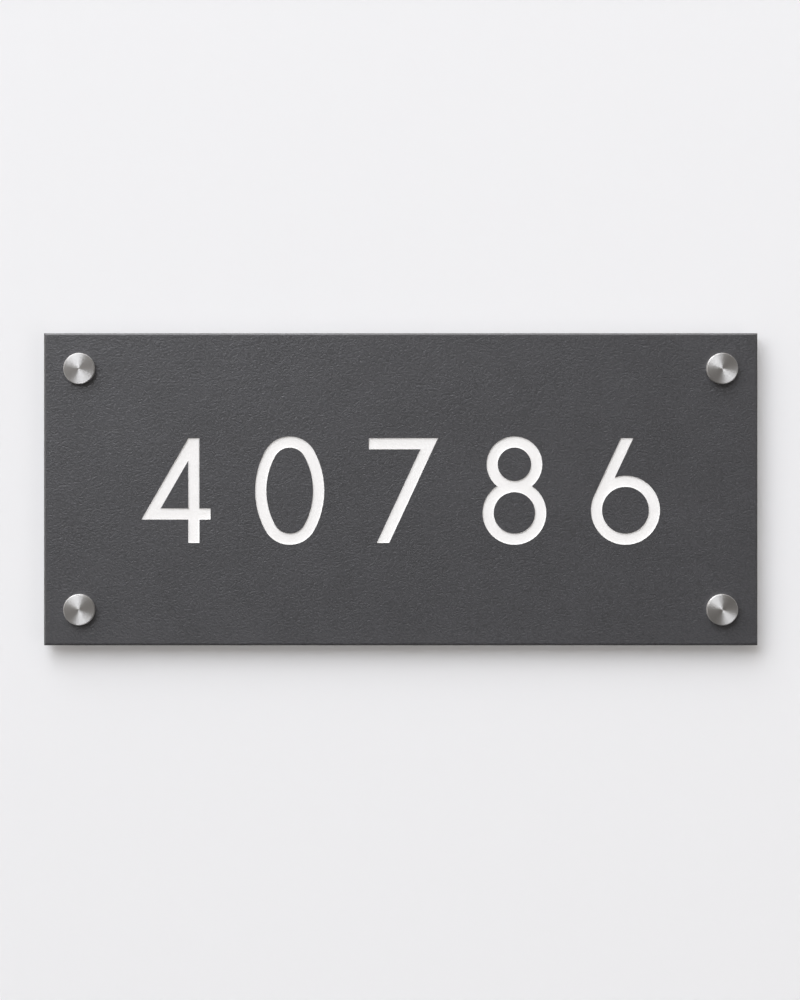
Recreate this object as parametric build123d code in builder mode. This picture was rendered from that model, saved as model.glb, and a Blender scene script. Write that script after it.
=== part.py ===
from build123d import *
from math import atan2, cos, degrees, radians, sin, tan
import os

# House number plaque: an engraved plate that four spacers hold off the wall.
# A countersunk screw goes through each corner, and the stud of a round cap screws into its head.
# Millimetres. The wall is the plane Y = 0, the plaque faces -Y and +Z is up.
# The origin is on the wall, behind the middle of the plate.

# Plate
plate_width = 320.0
plate_height = 140.0
plate_thickness = 4.0
plate_edge_chamfer = 0.8
plate_edge_angle = 30.0
fixing_inset = 16.0

# Numerals: a light geometric face, engraved in the plate
numeral_height = 47.0
numeral_width = 31.0
numeral_stroke = 5.0
numeral_gap = 20.0
numeral_drop = 0.6
numeral_lean = 25.0
round_overshoot = 0.8
zero_narrowing = 3.0
four_bar_level = 10.5
four_tail = 5.0
eight_upper_diameter = 25.0
engraving_depth = 1.2

# Enamel on the floor of the engraving
enamel_thickness = 0.7

# Spacers
spacer_length = 4.0
spacer_diameter = 12.0

# Screws, slotted and tapped for the studs of the caps; their thread starts at the wall
screw_diameter = 4.0
screw_shank_diameter = 3.6
screw_length = 38.0
screw_point_length = 5.0
screw_head_diameter = 8.0
screw_clearance = 0.25
countersink_angle = 90.0
head_sink = 0.1
slot_width = 1.0
slot_depth = 0.9

# Caps
cap_diameter = 14.0
cap_height = 3.2
cap_rim_chamfer = 0.3
stud_diameter = 2.5
stud_length = 3.5
stud_clearance = 0.05
stud_end_clearance = 0.5

# Sizes that follow from these
screw_hole_radius = screw_diameter / 2 + screw_clearance
cone_slope = tan(radians(countersink_angle / 2))
cone_length = (screw_head_diameter - screw_shank_diameter) / 2 / cone_slope
tapping_radius = stud_diameter / 2 + stud_clearance

# Distances from the wall
plate_back = spacer_length
plate_front = plate_back + plate_thickness
engraving_floor = plate_front - engraving_depth
head_front = plate_front - head_sink
tapping_floor = plate_front - stud_length - stud_end_clearance
screw_tip = head_front - screw_length

# Places of the four fixings
fixing_x = plate_width / 2 - fixing_inset
fixing_z = plate_height / 2 - fixing_inset
corners = {
    "top_left": (-fixing_x, fixing_z),
    "top_right": (fixing_x, fixing_z),
    "bottom_left": (-fixing_x, -fixing_z),
    "bottom_right": (fixing_x, -fixing_z),
}

os.makedirs("parts", exist_ok=True)


def facing(x, z, distance):
    """Plane parallel to the wall and facing away from it, at this distance in front of it."""
    return Plane(origin=(x, -distance, z), x_dir=(1, 0, 0), z_dir=(0, -1, 0))


def turning_plane(x, z):
    """Section plane of a turned piece: the radius, then the distance in front of the wall."""
    return Plane(origin=(x, 0, z), x_dir=(1, 0, 0), z_dir=(0, 0, -1))


# Numerals, each on its baseline and centred on X = 0


def numeral_zero():
    half_width = numeral_width / 2
    end_radius = half_width - zero_narrowing
    end_centre = numeral_height / 2 + round_overshoot - end_radius
    side_centre = (end_centre**2 - zero_narrowing**2) / (2 * zero_narrowing)
    side_radius = half_width + side_centre
    joint = degrees(atan2(end_centre, side_centre))
    middle = numeral_height / 2
    with BuildSketch() as numeral:
        for shrink, mode in ((0, Mode.ADD), (numeral_stroke, Mode.SUBTRACT)):
            with BuildLine():
                CenterArc((-side_centre, middle), side_radius - shrink, -joint, 2 * joint)
                CenterArc((0, middle + end_centre), end_radius - shrink, joint, 180 - 2 * joint)
                CenterArc((side_centre, middle), side_radius - shrink, 180 - joint, 2 * joint)
                CenterArc((0, middle - end_centre), end_radius - shrink, 180 + joint, 180 - 2 * joint)
            make_face(mode=mode)
    return numeral.sketch


def numeral_four():
    tip = (-numeral_width / 2, four_bar_level)
    stem_right = numeral_width / 2 - four_tail
    stem_left = stem_right - numeral_stroke
    slope = (numeral_height - four_bar_level) / (stem_left - tip[0])
    apex = (stem_right, four_bar_level + slope * (stem_right - tip[0]))
    with BuildSketch() as counter:
        with BuildLine():
            Polyline(tip, (stem_right, four_bar_level), apex, close=True)
        make_face()
        offset(amount=-numeral_stroke, kind=Kind.INTERSECTION)
    with BuildSketch() as numeral:
        with BuildLine():
            Polyline(
                tip,
                (stem_left, four_bar_level),
                (stem_left, 0),
                (stem_right, 0),
                (stem_right, numeral_height),
                (stem_left, numeral_height),
                close=True,
            )
        make_face()
        with Locations((stem_right, four_bar_level)):
            Rectangle(four_tail, numeral_stroke, align=(Align.MIN, Align.MIN))
        add(counter.sketch, mode=Mode.SUBTRACT)
    return numeral.sketch


def numeral_six():
    bowl_radius = numeral_width / 2
    bowl_centre = Vector(0, bowl_radius - round_overshoot)
    lean = radians(numeral_lean)
    outward = Vector(-cos(lean), sin(lean))
    upward = Vector(sin(lean), cos(lean))

    def stem_edge(radius):
        """Foot and top of the edge of the stem that runs off the bowl at this radius."""
        foot = bowl_centre + outward * radius
        return foot, foot + upward * ((numeral_height - foot.Y) / upward.Y)

    inner_radius = bowl_radius - numeral_stroke
    outer_foot, outer_top = stem_edge(bowl_radius)
    inner_foot, inner_top = stem_edge(inner_radius)
    with BuildSketch() as numeral:
        with BuildLine():
            Polyline(outer_foot, outer_top, inner_top, inner_foot, close=True)
        make_face()
        with Locations(bowl_centre):
            Circle(bowl_radius)
            Circle(inner_radius, mode=Mode.SUBTRACT)
    return numeral.sketch


def numeral_seven():
    left = -numeral_width / 2
    right = numeral_width / 2
    lean = radians(numeral_lean)
    leg_width = numeral_stroke / cos(lean)
    bar_bottom = numeral_height - numeral_stroke
    foot_right = right - numeral_height * tan(lean)
    crotch = foot_right + bar_bottom * tan(lean) - leg_width
    with BuildSketch() as numeral:
        with BuildLine():
            Polyline(
                (left, numeral_height),
                (left, bar_bottom),
                (crotch, bar_bottom),
                (foot_right - leg_width, 0),
                (foot_right, 0),
                (right, numeral_height),
                close=True,
            )
        make_face()
    return numeral.sketch


def numeral_eight():
    upper_radius = eight_upper_diameter / 2
    lower_radius = (numeral_height + numeral_stroke) / 2 + round_overshoot - upper_radius
    bowls = (
        (lower_radius - round_overshoot, lower_radius),
        (numeral_height + round_overshoot - upper_radius, upper_radius),
    )
    with BuildSketch() as numeral:
        for level, radius in bowls:
            with Locations((0, level)):
                Circle(radius)
        for level, radius in bowls:
            with Locations((0, level)):
                Circle(radius - numeral_stroke, mode=Mode.SUBTRACT)
    return numeral.sketch


# The row of numerals, centred on the width of the plate

number = (numeral_four, numeral_zero, numeral_seven, numeral_eight, numeral_six)
widths = [draw().bounding_box().size.X for draw in number]
row_length = sum(widths) + numeral_gap * (len(number) - 1)
baseline = -numeral_height / 2 - numeral_drop
centres = []
next_left = -row_length / 2
for width in widths:
    centres.append(next_left + width / 2)
    next_left += width + numeral_gap

# Face plate

with BuildPart() as face_plate:
    with BuildSketch(facing(0, 0, plate_back)):
        Rectangle(plate_width, plate_height)
    extrude(amount=plate_thickness)
    chamfer(
        face_plate.edges().group_by(Axis.Y)[0],
        length=plate_edge_chamfer,
        angle=plate_edge_angle,
        reference=face_plate.faces().sort_by(Axis.Y)[0],
    )
    with Locations(facing(0, 0, plate_front)):
        with GridLocations(2 * fixing_x, 2 * fixing_z, 2, 2):
            CounterSinkHole(
                radius=screw_hole_radius,
                counter_sink_radius=screw_head_diameter / 2 + head_sink * cone_slope,
                counter_sink_angle=countersink_angle,
            )
    for draw, centre in zip(number, centres):
        with BuildSketch(facing(centre, baseline, plate_front)):
            add(draw())
        extrude(amount=-engraving_depth, mode=Mode.SUBTRACT)
face_plate.part.label = "face_plate"
export_step(face_plate.part, "parts/face_plate.step")

# Enamel in the numerals

for place, (draw, centre) in enumerate(zip(number, centres), start=1):
    with BuildPart() as enamel:
        with BuildSketch(facing(centre, baseline, engraving_floor)):
            add(draw())
        extrude(amount=enamel_thickness)
    enamel.part.label = f"numeral_enamel_{place}"
    export_step(enamel.part, f"parts/numeral_enamel_{place}.step")

# Spacers, each with the bore of the plate's hole

with BuildPart() as spacers:
    for x, z in corners.values():
        with BuildSketch(facing(x, z, 0)):
            Circle(spacer_diameter / 2)
            Circle(screw_hole_radius, mode=Mode.SUBTRACT)
        extrude(amount=spacer_length)
spacers.part.label = "spacers"
export_step(spacers.part, "parts/spacers.step")

# Caps

for corner, (x, z) in corners.items():
    with BuildPart() as cap:
        with BuildSketch(facing(x, z, plate_front)):
            Circle(cap_diameter / 2)
        extrude(amount=cap_height)
        chamfer(cap.edges().group_by(Axis.Y)[0], cap_rim_chamfer)
        with BuildSketch(facing(x, z, plate_front)):
            Circle(stud_diameter / 2)
        extrude(amount=-stud_length)
    cap.part.label = f"cap_{corner}"
    export_step(cap.part, f"parts/cap_{corner}.step")

# Screws, with the head sunk just under the face of the plate

with BuildPart() as fixing_screws:
    for x, z in corners.values():
        with BuildSketch(turning_plane(x, z)):
            with BuildLine():
                Polyline(
                    (tapping_radius, head_front),
                    (screw_head_diameter / 2, head_front),
                    (screw_shank_diameter / 2, head_front - cone_length),
                    (screw_shank_diameter / 2, 0),
                    (screw_diameter / 2, 0),
                    (screw_diameter / 2, screw_tip + screw_point_length),
                    (0, screw_tip),
                    (0, tapping_floor),
                    (tapping_radius, tapping_floor),
                    close=True,
                )
            make_face()
        revolve(axis=Axis((x, 0, z), (0, -1, 0)))
        with BuildSketch(facing(x, z, head_front)):
            Rectangle(screw_head_diameter, slot_width)
        extrude(amount=-slot_depth, mode=Mode.SUBTRACT)
fixing_screws.part.label = "fixing_screws"
export_step(fixing_screws.part, "parts/fixing_screws.step")
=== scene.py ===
"""House number plaque on a pale wall: its finishes, fine forms and studio."""

import math

import bmesh
import bpy
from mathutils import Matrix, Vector


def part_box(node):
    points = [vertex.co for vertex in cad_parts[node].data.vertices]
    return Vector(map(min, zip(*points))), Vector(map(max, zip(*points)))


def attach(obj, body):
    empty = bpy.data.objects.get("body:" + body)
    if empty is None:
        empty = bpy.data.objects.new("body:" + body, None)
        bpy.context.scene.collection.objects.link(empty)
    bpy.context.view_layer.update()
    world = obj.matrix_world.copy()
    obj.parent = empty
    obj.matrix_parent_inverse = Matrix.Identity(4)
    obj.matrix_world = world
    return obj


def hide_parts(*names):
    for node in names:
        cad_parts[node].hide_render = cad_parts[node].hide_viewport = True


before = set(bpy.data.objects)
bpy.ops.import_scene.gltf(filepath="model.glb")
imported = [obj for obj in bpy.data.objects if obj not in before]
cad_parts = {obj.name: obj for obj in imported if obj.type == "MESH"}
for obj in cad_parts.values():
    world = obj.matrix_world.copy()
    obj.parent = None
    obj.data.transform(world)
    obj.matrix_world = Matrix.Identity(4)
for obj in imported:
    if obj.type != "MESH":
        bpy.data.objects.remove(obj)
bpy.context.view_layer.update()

MM = 0.001
CORNERS = ("top_left", "top_right", "bottom_left", "bottom_right")
NUMERALS = tuple(f"numeral_enamel_{place}" for place in range(1, 6))

# Meshes: steps in a rounding, creases in degrees, and the millimetres that count as touching
ROUNDING_STEPS = 5
TURNED_CREASE = 32
ENAMEL_CREASE = 50
SCREW_CREASE = 40
TOUCHING = 0.001

# Caps, in millimetres
CAP_SEGMENTS = 160
CAP_RIM = 0.3
CAP_RIM_ROUND = 0.1
CAP_FOOT_CHAMFER = 0.2
STUD_DIAMETER = 2.5
STUD_END_CHAMFER = 0.3

# Enamel: how far the film rises at each distance from the wall of the engraving, in millimetres
ENAMEL_CREEP = ((0.0, 0.34), (0.1, 0.2), (0.24, 0.1), (0.45, 0.04), (0.8, 0.0))

# Spacers, in millimetres
SPACER_SEGMENTS = 96
SPACER_BORE = 4.5
SPACER_ROUND = 0.45

# Screws, in millimetres
SCREW_SEGMENTS = 40
SCREW_DIAMETER = 4.0
SCREW_CORE = 2.5
SCREW_SHANK = 3.6
SCREW_HEAD = 8.0
SCREW_TAPPING = 2.6
SCREW_TAPPING_DEPTH = 3.9
SCREW_SLOT_WIDTH = 1.0
SCREW_SLOT_DEPTH = 0.9
THREAD_PITCH = 1.8
THREAD_ROWS = 14
THREAD_FLANK = 0.42
THREAD_CREST_FLAT = 1.15
THREAD_RUN_IN = 1.2
THREAD_POINT = 6.0
THREAD_CORE_TAPER = 0.8
THREAD_CREST_TAPER = 0.6
THREAD_TIP = 0.2

# Laminate: sizes and depths of its grain in millimetres, scales per millimetre
LAMINATE_SHINE = 1.2
# Laminate colours from dark to light, blended by the grain's height: the dark end is painted shade in
# the creases and hollows
LAMINATE_COLOURS = ((0.0248, 0.025, 0.0275), (0.0615, 0.062, 0.0688))
LAMINATE_ROUGHNESS = (0.42, 0.35)
GRAIN_DEPTH = 0.068
GRAIN_RANGE = (0.2, 0.9)
SWIRL_SCALE = 0.3
SWIRL_BEND = 2.5
CREASE_STRETCH = (0.8, 1.0, 1.1)
CREASE_SCALE = 0.6
CREASE_WIDTH = 0.2
CREASE_SHARE = 0.3
FINE_SIZE = 0.95
FINE_SHARE = 0.7
MOTTLE_SIZE = 22.0
MOTTLE_SHADE = 0.1

# Enamel paint
ENAMEL_SHINE = 0.4
ENAMEL_COLOURS = ((0.88, 0.88, 0.88), (0.915, 0.914, 0.912))
ENAMEL_TONE_SIZE = 4.0
ENAMEL_ROUGHNESS = (0.42, 0.52)
ENAMEL_WAVE_SIZE = 1.6
ENAMEL_WAVE_DEPTH = 0.05

# Turned steel: the rotation is a quarter turn, across the rings
STEEL_ANISOTROPY = 0.9
STEEL_ROTATION = 0.25
STEEL_COLOURS = ((0.657, 0.65, 0.642), (0.76, 0.752, 0.742))
STEEL_ROUGHNESS = (0.44, 0.54)
STEEL_RING_SIZE = 0.3
STEEL_RING_DEPTH = 0.004

# Zinc plating
ZINC_COLOURS = ((0.5, 0.515, 0.54), (0.64, 0.64, 0.62))
ZINC_ROUGHNESS = (0.37, 0.49)
ZINC_CLOUD_SIZE = 2.5
ZINC_GRAIN_SIZE = 0.4
ZINC_GRAIN_DEPTH = 0.008

# Nylon
NYLON_SHINE = 0.5
NYLON_COLOURS = ((0.017, 0.017, 0.018), (0.024, 0.024, 0.025))
NYLON_TONE_SIZE = 3.0
NYLON_ROUGHNESS = (0.45, 0.6)
NYLON_GRAIN_SIZE = 0.3
NYLON_GRAIN_DEPTH = 0.03

# The stretch of a noise that most of its values fall in
NOISE_RANGE = (0.3, 0.7)

# Camera: the photograph's framing, and the camera's distance in metres
PHOTO_WIDTH = 800
PHOTO_HEIGHT = 1000
PLATE_PIXELS = 713.5
PLATE_CENTRE_PIXEL = (400.7, 489.2)
CAMERA_DISTANCE = 1.3
SENSOR = 36.0

# Stage, in metres: the floor and the backdrop are as large as the views from behind and the side need
WALL_SIZE = 9.0
WALL_COLOUR = (0.834, 0.844, 0.863, 1)
FLOOR = ((1.73, -0.88, -1.15), (13.1, -9.4, -1.15), (9.4, -13.1, -1.15), (0.88, -1.73, -1.15))
BACKDROP = ((-7.0, -2.0, -2.8), (-7.0, 2.0, -2.8), (-7.0, 2.0, 2.0), (-7.0, -2.0, 2.0))
PALE_COLOUR = (0.86, 0.86, 0.86, 1)
STAGE_ROUGHNESS = 0.9
STAGE_SHINE = 0.2

# Lamps, in metres and watts
WHITE = (1.0, 1.0, 1.0)
KEY_PLACE = (-2.1, -4.0, 4.05)
KEY_SIZE = (5.2, 6.2)
KEY_POWER = 326.0
KEY_TINT = (0.98, 1.005, 1.055)
FILL_PLACE = (0.0, -5.0, 0.2)
FILL_SIZE = (0.5, 0.5)
FILL_POWER = 43.0
FILL_TINT = (1.0, 0.945, 0.89)
REAR_PLACE = (1.7, 3.6, 1.9)
REAR_SIZE = (4.5, 4.5)
REAR_POWER = 245.0

# Sky: its strength by height, dimmed from left to right and in front of the plaque
SKY_TINT = (1.0, 0.947, 0.9, 1)
SKY_REACH = 0.8
SKY_FOOT = 0.057
SKY_TOP = 0.81
SKY_LEFT = 1.95
SKY_RIGHT = 0.55
SKY_FRONT = 0.15
SKY_FRONT_EDGE = -0.6
SKY_FRONT_MIDDLE = -0.97


# Mesh tools


def rounded(corners):
    """Profile through (radius, depth, rounding) corners, each rounded off by its own amount."""
    points = []
    for index, (radius, depth, rounding) in enumerate(corners):
        here = Vector((radius, depth))
        if not rounding:
            points.append(here)
            continue
        before = Vector(corners[index - 1][:2]) - here
        after = Vector(corners[(index + 1) % len(corners)][:2]) - here
        start = here + before.normalized() * rounding
        end = here + after.normalized() * rounding
        for step in range(ROUNDING_STEPS + 1):
            t = step / ROUNDING_STEPS
            points.append(start * (1 - t) ** 2 + here * 2 * t * (1 - t) + end * t**2)
    return points


def ring(mesh, segments, radius_at, depth):
    """Vertices round the local Y axis, with the radius given by a function of the angle."""
    vertices = []
    for index in range(segments):
        angle = 2 * math.pi * index / segments
        radius = radius_at(angle) * MM
        vertices.append(mesh.verts.new((radius * math.cos(angle), depth * MM, radius * math.sin(angle))))
    return vertices


def bridge(mesh, first, second):
    """Faces between two rings, either of which may be a single vertex on the axis."""
    count = max(len(first), len(second))
    for index in range(count):
        following = (index + 1) % count
        if len(first) == 1:
            mesh.faces.new((first[0], second[index], second[following]))
        elif len(second) == 1:
            mesh.faces.new((first[following], first[index], second[0]))
        else:
            mesh.faces.new((first[following], first[index], second[index], second[following]))


def finished_mesh(name, mesh, crease):
    """Turn a bmesh into a smooth-shaded mesh with creases at edges sharper than this many degrees."""
    bmesh.ops.recalc_face_normals(mesh, faces=mesh.faces)
    data = bpy.data.meshes.new(name)
    mesh.to_mesh(data)
    mesh.free()
    data.shade_smooth()
    data.set_sharp_from_angle(angle=math.radians(crease))
    return data


def turned(name, profile, segments, closed=False):
    """Mesh turned about the local Y axis from (radius, depth) points in millimetres."""
    mesh = bmesh.new()
    rings = []
    for radius, depth in profile:
        if radius < TOUCHING:
            rings.append([mesh.verts.new((0, depth * MM, 0))])
        else:
            rings.append(ring(mesh, segments, lambda angle, radius=radius: radius, depth))
    for first, second in zip(rings, rings[1:]):
        bridge(mesh, first, second)
    if closed:
        bridge(mesh, rings[-1], rings[0])
    return finished_mesh(name, mesh, TURNED_CREASE)


def add_piece(name, data, material, node, location=(0, 0, 0)):
    """Put a mesh in the scene in place of a node of the frame."""
    piece = bpy.data.objects.new(name, data)
    bpy.context.scene.collection.objects.link(piece)
    piece.location = location
    data.materials.clear()
    data.materials.append(material)
    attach(piece, "root")
    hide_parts(node)


# Material tools


def new_material(name, **values):
    """Node material whose main shader has these plain values."""
    material = bpy.data.materials.new(name)
    material.use_nodes = True
    shader = material.node_tree.nodes["Principled BSDF"]
    for socket, value in values.items():
        shader.inputs[socket.replace("_", " ")].default_value = value
    return material, material.node_tree, shader


def add_node(tree, kind, inputs=(), **settings):
    """Add a node, with its settings, and link or set its inputs given as (socket, value) pairs."""
    node = tree.nodes.new("ShaderNode" + kind)
    for name, value in settings.items():
        setattr(node, name, value)
    for socket, value in inputs:
        if isinstance(value, bpy.types.NodeSocket):
            tree.links.new(value, node.inputs[socket])
        else:
            node.inputs[socket].default_value = value
    return node


def millimetres(tree):
    """Coordinates of the piece in millimetres."""
    place = add_node(tree, "TexCoord")
    scaled = add_node(
        tree,
        "VectorMath",
        [(0, place.outputs["Object"]), ("Scale", 1 / MM)],
        operation="SCALE",
    )
    return scaled.outputs["Vector"]


def noise(tree, vector, size, detail=2.0, roughness=0.5):
    """Noise with features about this many millimetres across."""
    found = add_node(
        tree,
        "TexNoise",
        [("Vector", vector), ("Scale", 1 / size), ("Detail", detail), ("Roughness", roughness)],
    )
    return found.outputs["Fac"]


def ramp(tree, value, low, high, start=0.0, end=1.0):
    """Spread a value from low..high to start..end."""
    spread = add_node(
        tree,
        "MapRange",
        [
            ("Value", value),
            ("From Min", low),
            ("From Max", high),
            ("To Min", start),
            ("To Max", end),
        ],
    )
    return spread.outputs["Result"]


def spread_noise(tree, value, start=0.0, end=1.0):
    """Spread most of a noise to start..end."""
    return ramp(tree, value, *NOISE_RANGE, start, end)


def combine(tree, operation, first, second):
    """Result of a sum, product or the like of two values."""
    return add_node(tree, "Math", [(0, first), (1, second)], operation=operation).outputs[0]


def blend_colours(tree, shader, factor, colours):
    """Base colour that goes from the first to the second of two colours with the factor."""
    first, second = colours
    mix = add_node(
        tree,
        "Mix",
        [(0, factor), (6, (*first, 1)), (7, (*second, 1))],
        data_type="RGBA",
    )
    tree.links.new(mix.outputs[2], shader.inputs["Base Color"])


def raise_surface(tree, shader, height, depth):
    """Bump of this many millimetres from a height between 0 and 1."""
    bump = add_node(tree, "Bump", [("Height", height), ("Distance", depth * MM), ("Strength", 1.0)])
    tree.links.new(bump.outputs["Normal"], shader.inputs["Normal"])


def show_surface(tree, surface):
    """Make this shader the material's surface."""
    tree.links.new(surface.outputs[0], tree.nodes["Material Output"].inputs["Surface"])


# Materials


def grained_laminate():
    """Anthracite laminate with a fine pressed grain of short creases, faintly mottled; its colour is
    darker in the creases and low points of the grain, as painted shade.
    """
    material, tree, shader = new_material("grained_laminate", Specular_IOR_Level=LAMINATE_SHINE)
    place = millimetres(tree)
    swirl = add_node(tree, "TexNoise", [("Vector", place), ("Scale", SWIRL_SCALE), ("Detail", 2.0)])
    bent = add_node(
        tree,
        "VectorMath",
        [(0, swirl.outputs["Color"]), (1, (SWIRL_BEND, SWIRL_BEND, SWIRL_BEND)), (2, place)],
        operation="MULTIPLY_ADD",
    )
    stretched = add_node(
        tree,
        "VectorMath",
        [(0, bent.outputs[0]), (1, CREASE_STRETCH)],
        operation="MULTIPLY",
    )
    cells = add_node(
        tree,
        "TexVoronoi",
        [("Vector", stretched.outputs[0]), ("Scale", CREASE_SCALE)],
        feature="DISTANCE_TO_EDGE",
    )
    creases = ramp(tree, cells.outputs["Distance"], 0.0, CREASE_WIDTH)
    fine = spread_noise(tree, noise(tree, stretched.outputs[0], FINE_SIZE, roughness=0.6))
    height = combine(
        tree,
        "ADD",
        combine(tree, "MULTIPLY", creases, CREASE_SHARE),
        combine(tree, "MULTIPLY", fine, FINE_SHARE),
    )
    raise_surface(tree, shader, height, GRAIN_DEPTH)
    mottle = noise(tree, place, MOTTLE_SIZE, detail=3.0, roughness=0.6)
    # Colour follows the grain's height plus random mottle: painted shade darkens the creases and hollows
    # of the grain
    shade = combine(tree, "ADD", height, spread_noise(tree, mottle, -MOTTLE_SHADE, MOTTLE_SHADE))
    blend_colours(tree, shader, shade, LAMINATE_COLOURS)
    roughness = ramp(tree, height, *GRAIN_RANGE, *LAMINATE_ROUGHNESS)
    tree.links.new(roughness, shader.inputs["Roughness"])
    return material


def white_enamel():
    """White paint run into the engraving, a little wavy."""
    material, tree, shader = new_material("white_enamel", Specular_IOR_Level=ENAMEL_SHINE)
    place = millimetres(tree)
    waves = noise(tree, place, ENAMEL_WAVE_SIZE)
    raise_surface(tree, shader, waves, ENAMEL_WAVE_DEPTH)
    blend_colours(tree, shader, noise(tree, place, ENAMEL_TONE_SIZE, detail=3.0), ENAMEL_COLOURS)
    tree.links.new(spread_noise(tree, waves, *ENAMEL_ROUGHNESS), shader.inputs["Roughness"])
    return material


def turned_stainless():
    """Steel faced on a lathe: fine rings that spread its reflections along the radius."""
    material, tree, shader = new_material(
        "turned_stainless",
        Metallic=1.0,
        Anisotropic=STEEL_ANISOTROPY,
        Anisotropic_Rotation=STEEL_ROTATION,
    )
    place = millimetres(tree)
    flat = add_node(tree, "VectorMath", [(0, place), (1, (1, 0, 1))], operation="MULTIPLY")
    radius = add_node(tree, "VectorMath", [(0, flat.outputs[0])], operation="LENGTH")
    along = add_node(tree, "CombineXYZ", [("X", radius.outputs["Value"])])
    rings = noise(tree, along.outputs[0], STEEL_RING_SIZE, detail=4.0, roughness=0.7)
    raise_surface(tree, shader, rings, STEEL_RING_DEPTH)
    blend_colours(tree, shader, rings, STEEL_COLOURS)
    tree.links.new(spread_noise(tree, rings, *STEEL_ROUGHNESS), shader.inputs["Roughness"])
    around = add_node(tree, "Tangent", direction_type="RADIAL", axis="Y")
    tree.links.new(around.outputs[0], shader.inputs["Tangent"])
    return material


def zinc_plated_steel():
    """Bright zinc over drawn steel, slightly clouded."""
    material, tree, shader = new_material("zinc_plated_steel", Metallic=1.0)
    place = millimetres(tree)
    clouds = noise(tree, place, ZINC_CLOUD_SIZE, detail=3.0, roughness=0.6)
    blend_colours(tree, shader, clouds, ZINC_COLOURS)
    tree.links.new(spread_noise(tree, clouds, *ZINC_ROUGHNESS), shader.inputs["Roughness"])
    raise_surface(tree, shader, noise(tree, place, ZINC_GRAIN_SIZE, detail=3.0), ZINC_GRAIN_DEPTH)
    return material


def black_nylon():
    """Moulded nylon with a faint spark-eroded grain."""
    material, tree, shader = new_material("black_nylon", Specular_IOR_Level=NYLON_SHINE)
    place = millimetres(tree)
    grain = noise(tree, place, NYLON_GRAIN_SIZE, detail=3.0, roughness=0.6)
    raise_surface(tree, shader, grain, NYLON_GRAIN_DEPTH)
    blend_colours(tree, shader, noise(tree, place, NYLON_TONE_SIZE), NYLON_COLOURS)
    tree.links.new(spread_noise(tree, grain, *NYLON_ROUGHNESS), shader.inputs["Roughness"])
    return material


# Pieces


def cap_mesh(height, diameter, stud_length):
    """Turned cap with its back on the plate's face at depth 0: a faced disc with a softened rim."""
    rim = diameter / 2
    land = rim - CAP_RIM
    stud = STUD_DIAMETER / 2
    corners = (
        (0, -height, 0),
        (land, -height, CAP_RIM_ROUND),
        (rim, CAP_RIM - height, CAP_RIM_ROUND),
        (rim, -CAP_FOOT_CHAMFER, 0),
        (rim - CAP_FOOT_CHAMFER, 0, 0),
        (stud, 0, 0),
        (stud, stud_length - STUD_END_CHAMFER, 0),
        (stud - STUD_END_CHAMFER, stud_length, 0),
        (0, stud_length, 0),
    )
    return turned("cap", rounded(corners), CAP_SEGMENTS)


def make_caps(material, plate_front):
    """One turned cap over each screw."""
    for corner in CORNERS:
        node = f"cap_{corner}"
        low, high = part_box(node)
        data = cap_mesh(
            (plate_front - low.y) / MM, (high.x - low.x) / MM, (high.y - plate_front) / MM
        )
        place = ((low.x + high.x) / 2, plate_front, (low.z + high.z) / 2)
        add_piece(f"turned_{node}", data, material, node, place)


def enamel_mesh(node):
    """Enamel of one numeral, drawn up a little along the walls of the engraving."""
    mesh = bmesh.new()
    mesh.from_mesh(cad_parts[node].data)
    bmesh.ops.remove_doubles(mesh, verts=mesh.verts, dist=TOUCHING * MM)
    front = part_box(node)[0].y
    film = [face for face in mesh.faces if all(abs(v.co.y - front) < TOUCHING * MM for v in face.verts)]
    for vertex in {v for face in film for v in face.verts}:
        vertex.co.y -= ENAMEL_CREEP[0][1] * MM
    for (near, above), (far, below) in zip(ENAMEL_CREEP, ENAMEL_CREEP[1:]):
        bmesh.ops.inset_region(
            mesh,
            faces=film,
            use_boundary=True,
            use_even_offset=True,
            thickness=(far - near) * MM,
            depth=(below - above) * MM,
        )
    return finished_mesh(node, mesh, ENAMEL_CREASE)


def make_enamel(material):
    """The white filling of each numeral."""
    for node in NUMERALS:
        add_piece(f"filled_{node}", enamel_mesh(node), material, node)


def make_spacers(material, places):
    """Sleeves with rounded ends between the wall and the plate."""
    low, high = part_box("spacers")
    length = (high.y - low.y) / MM
    pitch = max(x for x, z in places) - min(x for x, z in places)
    outer = (high.x - low.x - pitch) / 2 / MM
    bore = SPACER_BORE / 2
    corners = (
        (bore, 0, 0),
        (outer, 0, SPACER_ROUND),
        (outer, -length, SPACER_ROUND),
        (bore, -length, 0),
    )
    data = turned("spacer", rounded(corners), SPACER_SEGMENTS, closed=True)
    for corner, (x, z) in zip(CORNERS, places):
        add_piece(f"spacer_{corner}", data, material, "spacers", (x, 0, z))


def thread_radius(angle, depth, length):
    """Radius of the threaded stretch at this angle and depth behind the wall's surface."""
    turn = (depth / THREAD_PITCH - angle / (2 * math.pi)) % 1.0
    flight = max(0.0, 1 - abs(2 * turn - 1) / THREAD_FLANK)
    run_in = min(1.0, depth / THREAD_RUN_IN)
    point = min(1.0, (length - depth) / THREAD_POINT)
    core = (SCREW_SHANK + (SCREW_CORE - SCREW_SHANK) * run_in) / 2 * point**THREAD_CORE_TAPER
    crest = (SCREW_SHANK + (SCREW_DIAMETER - SCREW_SHANK) * run_in) / 2 * point**THREAD_CREST_TAPER
    return max(THREAD_TIP, core + (crest - core) * min(1.0, THREAD_CREST_FLAT * flight))


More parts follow.
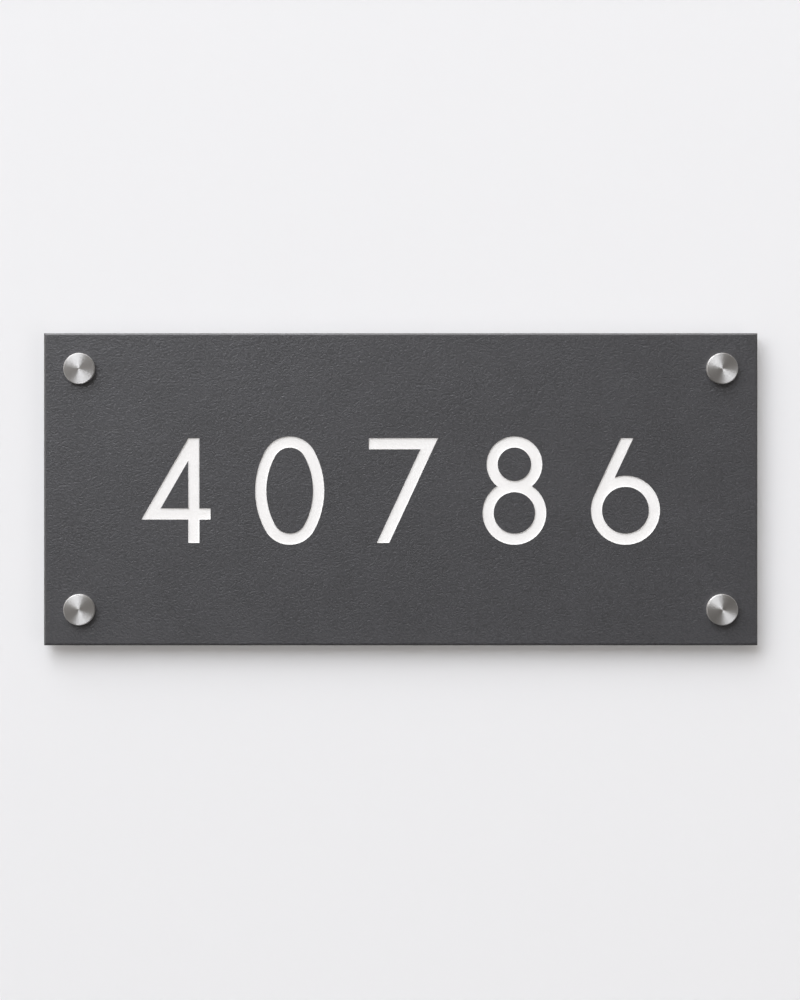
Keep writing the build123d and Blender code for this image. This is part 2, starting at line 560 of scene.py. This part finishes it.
def screw_mesh(head_front, length):
    """Countersunk screw with a tapped head, a plain shank up to the wall and a thread beyond it."""
    head = SCREW_HEAD / 2
    shank = SCREW_SHANK / 2
    tapping = SCREW_TAPPING / 2
    tapping_floor = head_front + SCREW_TAPPING_DEPTH
    profile = (
        (tapping, tapping_floor),
        (tapping, head_front),
        (head, head_front),
        (shank, head_front + head - shank),
    )
    mesh = bmesh.new()
    rows = [[mesh.verts.new((0, tapping_floor * MM, 0))]]
    for radius, depth in profile:
        rows.append(ring(mesh, SCREW_SEGMENTS, lambda angle, radius=radius: radius, depth))
    steps = round(length / THREAD_PITCH * THREAD_ROWS)
    for step in range(steps):
        depth = length * step / steps
        rows.append(
            ring(mesh, SCREW_SEGMENTS, lambda angle: thread_radius(angle, depth, length), depth)
        )
    rows.append([mesh.verts.new((0, length * MM, 0))])
    for first, second in zip(rows, rows[1:]):
        bridge(mesh, first, second)
    return finished_mesh("screw", mesh, SCREW_CREASE)


def cut_slot(data, head_front):
    """Saw the driver slot across the head."""
    cutter = bmesh.new()
    bmesh.ops.create_cube(cutter, size=MM)
    for vertex in cutter.verts:
        vertex.co.x *= 2 * SCREW_HEAD
        vertex.co.z *= SCREW_SLOT_WIDTH
        vertex.co.y = vertex.co.y * 2 * SCREW_SLOT_DEPTH + head_front * MM
    blade = bpy.data.objects.new("slot_cutter", finished_mesh("slot_cutter", cutter, SCREW_CREASE))
    blank = bpy.data.objects.new("screw_blank", data)
    for helper in (blade, blank):
        bpy.context.scene.collection.objects.link(helper)
    saw = blank.modifiers.new("slot", "BOOLEAN")
    saw.operation = "DIFFERENCE"
    saw.object = blade
    cut = bpy.data.meshes.new_from_object(blank.evaluated_get(bpy.context.evaluated_depsgraph_get()))
    for helper in (blade, blank):
        bpy.data.objects.remove(helper)
    return cut


def make_screws(material, places):
    """The four wall screws."""
    low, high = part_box("fixing_screws")
    head_front = low.y / MM
    data = cut_slot(screw_mesh(head_front, high.y / MM), head_front)
    for corner, (x, z) in zip(CORNERS, places):
        name = f"wall_screw_{corner}"
        add_piece(name, data, material, "fixing_screws", (x, 0, z))


# Studio


def add_sheet(name, corners, material):
    """Flat stage sheet that throws no shadow."""
    data = bpy.data.meshes.new(name)
    data.from_pydata(corners, [], [(0, 1, 2, 3)])
    data.materials.append(material)
    sheet = bpy.data.objects.new(name, data)
    bpy.context.scene.collection.objects.link(sheet)
    sheet.visible_shadow = False


def matt_paint(name, colour):
    """Matt paint of one colour."""
    material, tree, shader = new_material(
        name, Roughness=STAGE_ROUGHNESS, Specular_IOR_Level=STAGE_SHINE
    )
    shader.inputs["Base Color"].default_value = colour
    return material, tree, shader


def wall_paint():
    """Matt pale paint, open to the eye from behind."""
    material, tree, shader = matt_paint("wall_paint", WALL_COLOUR)
    side = add_node(tree, "NewGeometry")
    clear = add_node(tree, "BsdfTransparent")
    either = add_node(
        tree,
        "MixShader",
        [(0, side.outputs["Backfacing"]), (1, shader.outputs[0]), (2, clear.outputs[0])],
    )
    show_surface(tree, either)
    return material


def pale_paper():
    """Evenly pale to the eye and in reflections, and matt for all other light."""
    material, tree, shader = matt_paint("pale_paper", PALE_COLOUR)
    ray = add_node(tree, "LightPath")
    seen = ray.outputs["Is Camera Ray"]
    for kind in ("Is Glossy Ray", "Is Transmission Ray"):
        seen = combine(tree, "MAXIMUM", seen, ray.outputs[kind])
    glow = add_node(tree, "Emission", [("Color", PALE_COLOUR), ("Strength", 1.0)])
    either = add_node(tree, "MixShader", [(0, seen), (1, shader.outputs[0]), (2, glow.outputs[0])])
    show_surface(tree, either)
    return material


def make_stage():
    """Pale wall at the back of the spacers, and a pale floor and backdrop for the other sides."""
    half = WALL_SIZE / 2
    corners = ((-half, 0, -half), (half, 0, -half), (half, 0, half), (-half, 0, half))
    add_sheet("wall", corners, wall_paint())
    paper = pale_paper()
    add_sheet("floor", FLOOR, paper)
    add_sheet("backdrop", BACKDROP, paper)


def add_lamp(name, place, size, power, tint):
    """Rectangular soft lamp at a place, turned to the plaque."""
    lamp = bpy.data.lights.new(name, "AREA")
    lamp.shape = "RECTANGLE"
    lamp.size, lamp.size_y = size
    lamp.energy = power
    lamp.color = tint
    holder = bpy.data.objects.new(name, lamp)
    holder.location = place
    holder.rotation_euler = (-Vector(place)).to_track_quat("-Z", "Y").to_euler()
    holder.visible_camera = False
    bpy.context.scene.collection.objects.link(holder)
    return holder


def make_lamps():
    """A large soft lamp from the upper left, a fill by the camera and a lamp behind the wall."""
    add_lamp("key", KEY_PLACE, KEY_SIZE, KEY_POWER, KEY_TINT)
    fill = add_lamp("fill", FILL_PLACE, FILL_SIZE, FILL_POWER, FILL_TINT)
    fill.visible_glossy = False
    add_lamp("rear", REAR_PLACE, REAR_SIZE, REAR_POWER, WHITE)


def make_sky():
    """Sky graded by height, from left to right and in front of the plaque."""
    world = bpy.data.worlds.new("studio")
    world.use_nodes = True
    tree = world.node_tree
    sky = tree.nodes["Background"]
    sky.inputs["Color"].default_value = SKY_TINT
    way = add_node(tree, "TexCoord").outputs["Generated"]
    parts = add_node(tree, "SeparateXYZ", [(0, way)]).outputs
    strength = ramp(tree, parts["Z"], -SKY_REACH, SKY_REACH, SKY_FOOT, SKY_TOP)
    across = ramp(tree, parts["X"], -SKY_REACH, SKY_REACH, SKY_LEFT, SKY_RIGHT)
    ahead = ramp(tree, parts["Y"], SKY_FRONT_EDGE, SKY_FRONT_MIDDLE, 1.0, SKY_FRONT)
    for shade in (across, ahead):
        strength = combine(tree, "MULTIPLY", strength, shade)
    tree.links.new(strength, sky.inputs["Strength"])
    bpy.context.scene.world = world


def make_camera(plate_front, plate_width):
    """Camera square to the plate, with the photograph's framing."""
    pixel = plate_width / PLATE_PIXELS
    right = (PHOTO_WIDTH / 2 - PLATE_CENTRE_PIXEL[0]) * pixel
    up = (PLATE_CENTRE_PIXEL[1] - PHOTO_HEIGHT / 2) * pixel
    lens = bpy.data.cameras.new("camera")
    lens.sensor_width = SENSOR
    lens.lens = SENSOR * CAMERA_DISTANCE / (PHOTO_HEIGHT * pixel)
    camera = bpy.data.objects.new("camera", lens)
    camera.location = (right, plate_front - CAMERA_DISTANCE, up)
    camera.rotation_euler = (math.pi / 2, 0, 0)
    bpy.context.scene.collection.objects.link(camera)
    bpy.context.scene.camera = camera


plate_low, plate_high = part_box("face_plate")
cap_boxes = [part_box(f"cap_{corner}") for corner in CORNERS]
fixings = [((low.x + high.x) / 2, (low.z + high.z) / 2) for low, high in cap_boxes]

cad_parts["face_plate"].material_slots[0].material = grained_laminate()
make_enamel(white_enamel())
make_caps(turned_stainless(), plate_low.y)
make_spacers(black_nylon(), fixings)
make_screws(zinc_plated_steel(), fixings)

make_stage()
make_lamps()
make_sky()
make_camera(plate_low.y, plate_high.x - plate_low.x)
bpy.context.scene.view_settings.view_transform = "Standard"
